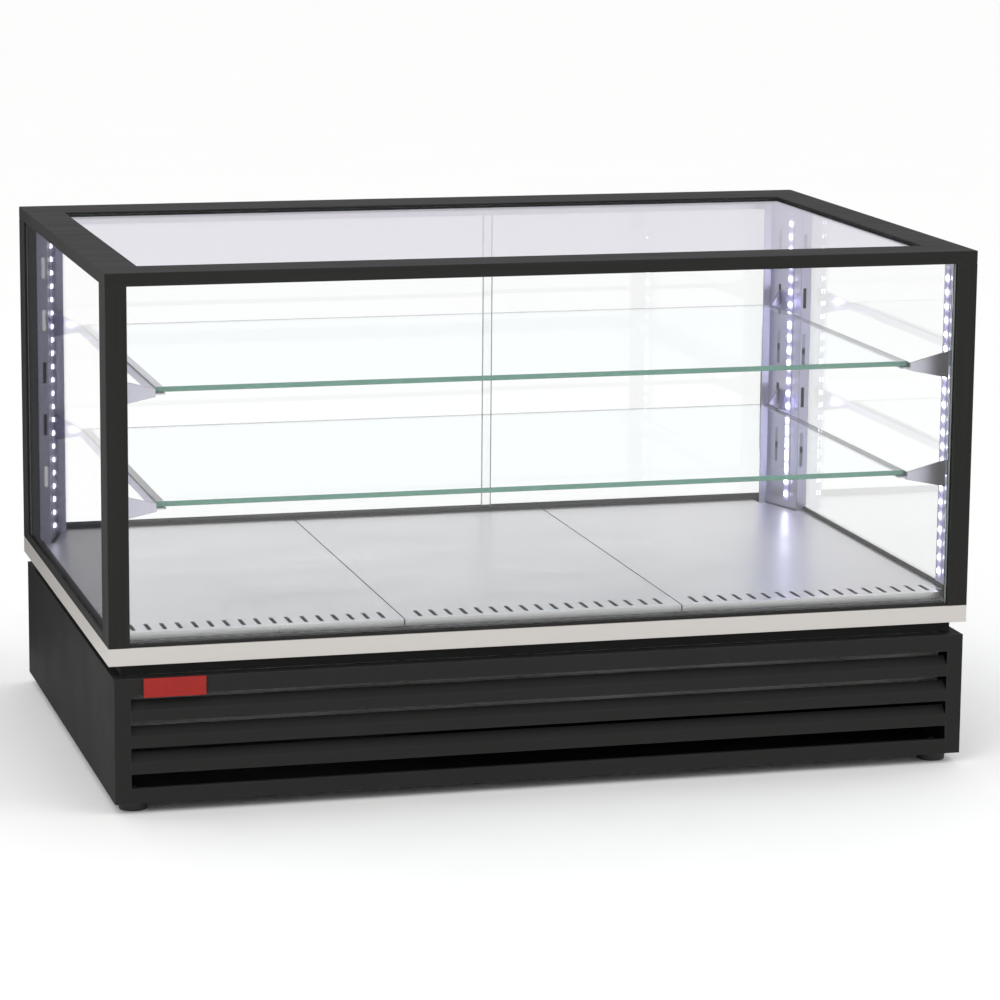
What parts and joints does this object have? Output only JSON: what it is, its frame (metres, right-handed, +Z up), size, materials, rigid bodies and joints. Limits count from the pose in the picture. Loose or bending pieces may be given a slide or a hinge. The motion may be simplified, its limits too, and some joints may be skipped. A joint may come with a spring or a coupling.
{
  "type": "hot food display case",
  "caption": "Heated glass display case for a counter: black frame, shelves on lit uprights, slotted floor plates, rear sliding doors and a louvred base.",
  "frame": {"origin": "centre of the footprint on the counter, at the underside of the feet", "axes": "+X to the right of someone facing the front, +Y to the rear (the doors' side), +Z up"},
  "size_m": [1.02, 0.662, 0.61],
  "materials": {
    "black_coat": "fine satin powder coat",
    "frame_black": "satin black coat",
    "belt_steel": "brushed along its length",
    "plate_steel": "fine satin stainless",
    "well_steel": "dull stainless sheet",
    "upright_steel": "satin stainless",
    "support_steel": "satin stainless",
    "track_alloy": "natural anodised",
    "pane_glass": "clear toughened glass",
    "door_glass": "clear toughened glass",
    "shelf_glass": "clear glass with green edges",
    "badge_red": "gloss red, blank",
    "foot_rubber": "matt black rubber",
    "black_plastic": "fine textured black",
    "rocker_red": "translucent red",
    "display_plastic": "black bezel with a dark window",
    "white_plastic": "off-white plastic",
    "led_board": "white circuit strip",
    "led_chip": "lit white light chips",
    "heater_tube": "heat-tinted steel tube",
    "screw_steel": "zinc-plated steel"
  },
  "bodies": {
    "case": {"base_pan": "black_coat", "base_side_left": "black_coat", "base_side_right": "black_coat", "rear_panel": "black_coat", "grille_frame": "black_coat", "grille_slats": "black_coat", "spacer_frame": "black_coat", "control_box": "black_coat", "post_front_left": "frame_black", "post_front_right": "frame_black", "post_rear_left": "frame_black", "post_rear_right": "frame_black", "pane_liners": "frame_black", "side_rail_left": "frame_black", "side_rail_right": "frame_black", "cap_frame": "frame_black", "front_sill": "frame_black", "door_track_bottom": "frame_black", "plate_bars": "frame_black", "belt_trim": "belt_steel", "well": "well_steel", "rear_deck": "well_steel", "fan_bulkhead": "well_steel", "upright_front_left": "upright_steel", "upright_front_right": "upright_steel", "upright_rear_left": "upright_steel", "upright_rear_right": "upright_steel", "door_track_top": "track_alloy", "glass_top": "pane_glass", "glass_front": "pane_glass", "glass_left": "pane_glass", "glass_right": "pane_glass", "badge_plate": "badge_red", "feet": "foot_rubber", "switch_bodies": "black_plastic", "cord_gland": "black_plastic", "fan_frames": "black_plastic", "temperature_display": "display_plastic", "thermostat_body": "white_plastic", "led_driver": "white_plastic", "led_boards": "led_board", "led_chips": "led_chip", "heaters": "heater_tube", "panel_screws": "screw_steel"},
    "plate_left": {"floor_plate_left": "plate_steel"},
    "plate_centre": {"floor_plate_centre": "plate_steel"},
    "plate_right": {"floor_plate_right": "plate_steel"},
    "door_left": {"door_left": "door_glass", "door_pull_left": "black_plastic"},
    "door_right": {"door_right": "door_glass", "door_pull_right": "black_plastic"},
    "supports_upper": {"supports_upper": "support_steel"},
    "supports_lower": {"supports_lower": "support_steel"},
    "shelf_upper": {"shelf_upper": "shelf_glass"},
    "shelf_lower": {"shelf_lower": "shelf_glass"},
    "impeller_left": {"impeller_left": "black_plastic"},
    "impeller_right": {"impeller_right": "black_plastic"},
    "main_rocker": {"main_rocker": "rocker_red"},
    "light_rocker": {"light_rocker": "black_plastic"},
    "thermostat_knob": {"thermostat_knob": "black_plastic"}
  },
  "joints": [
    {"name": "plate_left_lift", "type": "slide", "parent": "case", "child": "plate_left", "axis": [0, 0, 1], "range_m": [0, 0.05]},
    {"name": "plate_centre_lift", "type": "slide", "parent": "case", "child": "plate_centre", "axis": [0, 0, 1], "range_m": [0, 0.05]},
    {"name": "plate_right_lift", "type": "slide", "parent": "case", "child": "plate_right", "axis": [0, 0, 1], "range_m": [0, 0.05]},
    {"name": "door_left_slide", "type": "slide", "parent": "case", "child": "door_left", "axis": [1, 0, 0], "range_m": [0, 0.386]},
    {"name": "door_right_slide", "type": "slide", "parent": "case", "child": "door_right", "axis": [1, 0, 0], "range_m": [-0.572, 0]},
    {"name": "supports_upper_unhook", "type": "slide", "parent": "case", "child": "supports_upper", "axis": [0, 0, 1], "range_m": [0, 0.006]},
    {"name": "shelf_upper_lift", "type": "slide", "parent": "supports_upper", "child": "shelf_upper", "axis": [0, 0, 1], "range_m": [0, 0.04]},
    {"name": "supports_lower_unhook", "type": "slide", "parent": "case", "child": "supports_lower", "axis": [0, 0, 1], "range_m": [0, 0.006]},
    {"name": "shelf_lower_lift", "type": "slide", "parent": "supports_lower", "child": "shelf_lower", "axis": [0, 0, 1], "range_m": [0, 0.04]},
    {"name": "impeller_left_spin", "type": "hinge", "parent": "case", "child": "impeller_left", "pos_m": [-0.162, 0.12, 0.1442], "axis": [0, 1, 0], "continuous": true},
    {"name": "impeller_right_spin", "type": "hinge", "parent": "case", "child": "impeller_right", "pos_m": [0.162, 0.12, 0.1442], "axis": [0, 1, 0], "continuous": true},
    {"name": "main_rocker_tilt", "type": "hinge", "parent": "case", "child": "main_rocker", "pos_m": [0.275, 0.299, 0.09], "axis": [1, 0, 0], "range_deg": [0, 16]},
    {"name": "light_rocker_tilt", "type": "hinge", "parent": "case", "child": "light_rocker", "pos_m": [0.313, 0.299, 0.09], "axis": [1, 0, 0], "range_deg": [0, 16]},
    {"name": "thermostat_turn", "type": "hinge", "parent": "case", "child": "thermostat_knob", "pos_m": [0.427, 0.3035, 0.09], "axis": [0, -1, 0], "range_deg": [0, 300]}
  ]
}
